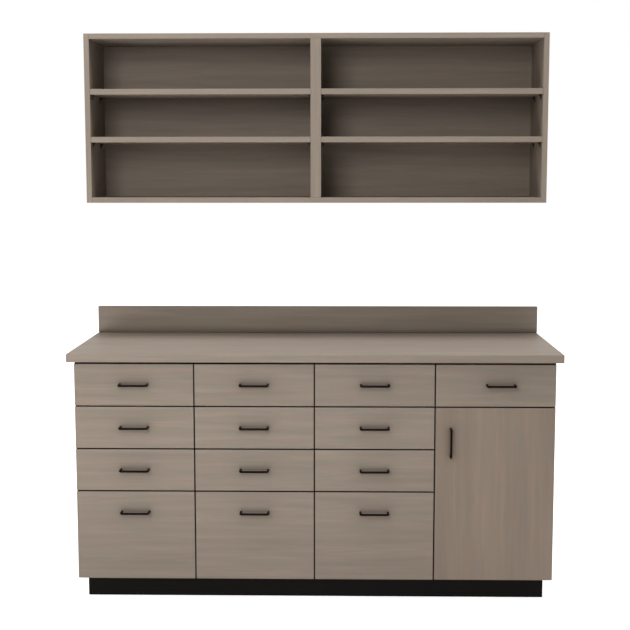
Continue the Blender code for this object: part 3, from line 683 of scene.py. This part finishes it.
CUP_RADIUS = 0.0172
CUP_WALL = 0.0007
CUP_DEPTH = 0.0119
CUP_EDGE = 0.0225                   # from the door's hinged edge to the cup's middle
CUP_END = 0.095                     # from the door's ends
FLANGE_RADIUS = 0.0195
FLANGE_THICK = 0.0009
CUP_SIDES = 40
RIM_DROP, RIM_FLARE = 0.0005, 0.0012        # the wall's lead-in under the flange
EAR_WIDTH, EAR_ROUND = 0.012, 0.0003
EAR_NEAR, EAR_FAR = 0.0165, 0.0300
CUP_INNER = CUP_RADIUS - CUP_WALL
HINGE_CUP = np.array([              # radius and height, from the floor up the wall, over the flange and down
    (CUP_INNER, -CUP_DEPTH + CUP_WALL), (CUP_INNER, -RIM_DROP), (CUP_INNER + RIM_FLARE, FLANGE_THICK),
    (FLANGE_RADIUS, FLANGE_THICK), (FLANGE_RADIUS, JOINT), (CUP_RADIUS, JOINT), (CUP_RADIUS, -CUP_DEPTH),
])
door_low, door_high = node_box("door")
cup_x = door_high[0] - CUP_EDGE
hinge_heights = {"upper": door_high[2] - CUP_END, "lower": door_low[2] + CUP_END}
for level, z in hinge_heights.items():
    middle = np.array([cup_x, DOOR_BACK, z])
    cup = [turned(HINGE_CUP, CUP_SIDES, middle)]
    for side in (-1, 1):
        near, far = sorted((z + side * EAR_NEAR, z + side * EAR_FAR))
        cup.append(rounded_board((cup_x - EAR_WIDTH / 2, DOOR_BACK + JOINT, near),
                                 (cup_x + EAR_WIDTH / 2, DOOR_BACK + FLANGE_THICK, far), EAR_ROUND))
    add_piece(f"hinge_cup_{level}", cup, nickel_steel, "door", "nickel_steel")


# Hinge arms: the cabinet halves of two concealed hinges. A plate is screwed to the right end panel, and a
# pressed arm clips onto it and reaches into the door's cup.

PLATE_THICK = 0.003
PLATE_SETBACK, PLATE_LENGTH = 0.026, 0.022
ARM_HEIGHT = 0.014
PLATE_ROUND, ARM_ROUND, TONGUE_ROUND = 0.0008, 0.0022, 0.0010
TONGUE_HEIGHT, TONGUE_THICK = 0.010, 0.004
TONGUE_SHORT = 0.0015               # kept clear of the cup's floor
for level, z in hinge_heights.items():
    low, high = node_box(f"{level}_hinge")
    plate_front = CASE_FRONT + PLATE_SETBACK
    arm_right = high[0] - PLATE_THICK / 2
    tongue_left = (low[0] + arm_right - TONGUE_THICK) / 2
    hinge = [
        rounded_board((high[0] - PLATE_THICK, plate_front, low[2]),
                      (high[0], plate_front + PLATE_LENGTH, high[2]), PLATE_ROUND),
        rounded_board((low[0], DOOR_BACK + 2 * JOINT, z - ARM_HEIGHT / 2),
                      (arm_right, high[1], z + ARM_HEIGHT / 2), ARM_ROUND),
        rounded_board((tongue_left, low[1] + TONGUE_SHORT, z - TONGUE_HEIGHT / 2),
                      (tongue_left + TONGUE_THICK, plate_front, z + TONGUE_HEIGHT / 2), TONGUE_ROUND),
    ]
    add_piece(f"hinge_arm_{level}", hinge, nickel_steel, "cabinet", "nickel_steel", f"{level}_hinge")


# Wall unit: a case of two sides, top, bottom, double divider and full back in the same laminate, glued up and
# screwed to the wall through its back, with four loose shelves.

WALL_PANEL = 0.019
WALL_DIVIDER = 0.038
WALL_EASE = 0.0006
low, high = node_box("wall_carcass")
inside_low = low + (WALL_PANEL + JOINT, 0, WALL_PANEL + JOINT)
inside_high = high - (WALL_PANEL + JOINT, 0, WALL_PANEL + JOINT)
back = high[1] - WALL_PANEL
case = [
    rounded_board(low, (low[0] + WALL_PANEL, high[1], high[2]), WALL_EASE),
    rounded_board((high[0] - WALL_PANEL, low[1], low[2]), high, WALL_EASE),
    rounded_board((-WALL_DIVIDER / 2, low[1], inside_low[2]), (WALL_DIVIDER / 2, back - JOINT, inside_high[2]),
                  WALL_EASE),
    rounded_board((inside_low[0], low[1], low[2]), (inside_high[0], high[1], low[2] + WALL_PANEL), WALL_EASE),
    rounded_board((inside_low[0], low[1], high[2] - WALL_PANEL), (inside_high[0], high[1], high[2]), WALL_EASE),
    rounded_board((inside_low[0], back, inside_low[2]), inside_high, WALL_EASE),
]
add_piece("wall_case", case, laminate, "cabinet", "taupe_laminate", "wall_carcass",
          grain=["z", "z", "z", "x", "x", "x"])
SHELVES = [f"wall_shelf_{side}_{level}" for side in ("left", "right") for level in ("lower", "upper")]
for node in SHELVES:
    add_piece(f"{node}_board", [rounded_board(*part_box(node), WALL_EASE)], laminate, "cabinet", "taupe_laminate",
              node, grain="x")


# Shelf supports: small brackets moulded in black nylon, four under each shelf. A peg on the back of each one
# plugs into the panel, and the shelf lies loose on the ledges.

# Black moulded nylon: it gives the eye a dull black with a fine moulded grain.
BLACK_NYLON = "#161514"
NYLON_SHINE = "#22201F"
NYLON_GRAIN = 0.0010
black_nylon = mottled_finish("black_moulded_nylon", (BLACK_NYLON, NYLON_SHINE), (NYLON_GRAIN,) * 3, detail=2.0,
                             rough=(0.45, 0.60), sockets={"Specular IOR Level": 0.25})

SUPPORT_REACH, SUPPORT_DROP, SUPPORT_WIDTH = 0.010, 0.018, 0.008
LEDGE_EDGE, FOOT_TOP, FOOT_THICK = 0.0020, 0.0130, 0.0030   # the ledge's front edge, and the foot on the panel
SUPPORT_FRONT, SUPPORT_REAR = 0.036, 0.090  # from a shelf's front and rear edges
SUPPORT_SEAT = 0.0003
SHELF_GAP = 0.0004                  # between a shelf's end and the panel
BRACKET = np.array([(0, 0), (SUPPORT_REACH, 0), (SUPPORT_REACH, -LEDGE_EDGE), (FOOT_THICK, -FOOT_TOP),
                    (FOOT_THICK, -SUPPORT_DROP), (0, -SUPPORT_DROP)])
for node in SHELVES + ["door_shelf"]:
    low, high = node_box(node)
    brackets = []
    for panel, facing in ((low[0] - SHELF_GAP, 1), (high[0] + SHELF_GAP, -1)):
        outline = BRACKET * (facing, 1) + (panel, low[2] - SUPPORT_SEAT)
        for y in (low[1] + SUPPORT_FRONT, high[1] - SUPPORT_REAR):
            brackets.append(extrusion(outline, y - SUPPORT_WIDTH / 2, y + SUPPORT_WIDTH / 2))
    add_piece(f"{node}_supports", brackets, black_nylon, "cabinet", "black_metal")


# Studio: a plain white floor, a white surround, soft boxes above and in front, a low one with a grid,
# reflectors on the floor, and the camera where the photograph was taken from.

def seen_directly(tree):
    """One for a ray from the camera, off a glossy surface or through a clear one, and zero for the rest."""
    light_path = add_node(tree, "LightPath", {})
    seen = add_node(tree, "Math", {0: light_path["Is Camera Ray"], 1: light_path["Is Glossy Ray"]},
                    operation="MAXIMUM")[0]
    return add_node(tree, "Math", {0: seen, 1: light_path["Is Transmission Ray"]}, operation="MAXIMUM")[0]


FLOOR_GREY = "#E6E6E6"
FLOOR_GLOW = 0.72                   # brings the lit floor up to white where it is seen, and keeps its shadow
FLOOR_HALF = 12.0
floor_paint = new_material("studio_floor")
tree = floor_paint.node_tree
diffuse = add_node(tree, "BsdfDiffuse", {"Color": linear(FLOOR_GREY)})[0]
white = add_node(tree, "BsdfDiffuse", {"Color": (1.0, 1.0, 1.0, 1.0)})[0]
glow = add_node(tree, "Emission", {"Strength": FLOOR_GLOW})[0]
white = add_node(tree, "AddShader", {0: white, 1: glow})[0]
surface = add_node(tree, "MixShader", {0: seen_directly(tree), 1: diffuse, 2: white})[0]
add_node(tree, "OutputMaterial", {"Surface": surface})
floor = bpy.data.meshes.new("studio_floor")
corners = np.array([(-1, -1, 0), (1, -1, 0), (1, 1, 0), (-1, 1, 0)]) * FLOOR_HALF
floor.from_pydata(corners.tolist(), [], [(0, 1, 2, 3)])
floor.materials.append(floor_paint)
floor = bpy.data.objects.new("studio_floor", floor)
bpy.context.scene.collection.objects.link(floor)

SKY = 0.95                          # strength straight above, falling to none at the horizon
world = bpy.data.worlds.new("white_surround")
bpy.context.scene.world = world
world.use_nodes = True
tree = world.node_tree
tree.nodes.clear()
direction = add_node(tree, "SeparateXYZ", {0: add_node(tree, "TexCoord", {})["Generated"]})
overhead = add_node(tree, "MapRange", {"Value": direction["Z"], "To Max": SKY})[0]
strength = add_node(tree, "Mix", {0: seen_directly(tree), 2: overhead, 3: 1.0}, data_type="FLOAT")[0]
surround = add_node(tree, "Background", {"Color": (1.0, 1.0, 1.0, 1.0), "Strength": strength})[0]
add_node(tree, "OutputWorld", {"Surface": surround})


def add_lamp(name, place, target, width, height, power, spread=math.pi):
    """A rectangular soft box or reflector at a place, facing a target and unseen by the camera.

    A grid on a soft box narrows its spread.
    """
    lamp = bpy.data.lights.new(name, "AREA")
    lamp.shape = "RECTANGLE"
    lamp.size, lamp.size_y = width, height
    lamp.energy = power
    lamp.spread = spread
    made = bpy.data.objects.new(name, lamp)
    made.location = place
    made.rotation_euler = (Vector(target) - Vector(place)).to_track_quat("-Z", "Y").to_euler()
    made.visible_camera = False
    bpy.context.scene.collection.objects.link(made)


MIDDLE = (0.0, 0.0, 1.2)
add_lamp("top_softbox", (0.0, -0.75, 4.5), MIDDLE, width=2.4, height=0.8, power=80)
add_lamp("front_softbox", (-1.15, -4.1, 2.6), MIDDLE, width=1.6, height=1.4, power=71)
add_lamp("low_softbox", (-1.05, -4.0, 0.62), (-1.05, 0.0, 0.62), width=3.0, height=0.4, power=1.25,
         spread=math.radians(24))
add_lamp("left_reflector", (-2.6, -2.0, 0.01), (-2.6, -2.0, 1.0), width=1.6, height=1.6, power=46)
add_lamp("far_reflector", (-1.0, -3.6, 0.01), (-1.0, -3.6, 1.0), width=2.0, height=2.0, power=14)

# The photograph's camera, found from the cabinet's edges: place, turn to the left, tilt down and roll.
VIEW_PLACE = (0.0817, -4.4479, 1.5125)
VIEW_TURN, VIEW_TILT, VIEW_ROLL = 0.01892, -0.11545, 0.0006
LENS, SENSOR = 69.68, 36.0          # millimetres
camera = bpy.data.cameras.new("camera")
camera.lens = LENS
camera.sensor_width = SENSOR
camera = bpy.data.objects.new("camera", camera)
camera.location = VIEW_PLACE
camera.rotation_euler = (math.pi / 2 + VIEW_TILT, VIEW_ROLL, VIEW_TURN)
bpy.context.scene.collection.objects.link(camera)
bpy.context.scene.camera = camera
bpy.context.scene.view_settings.view_transform = "Standard"
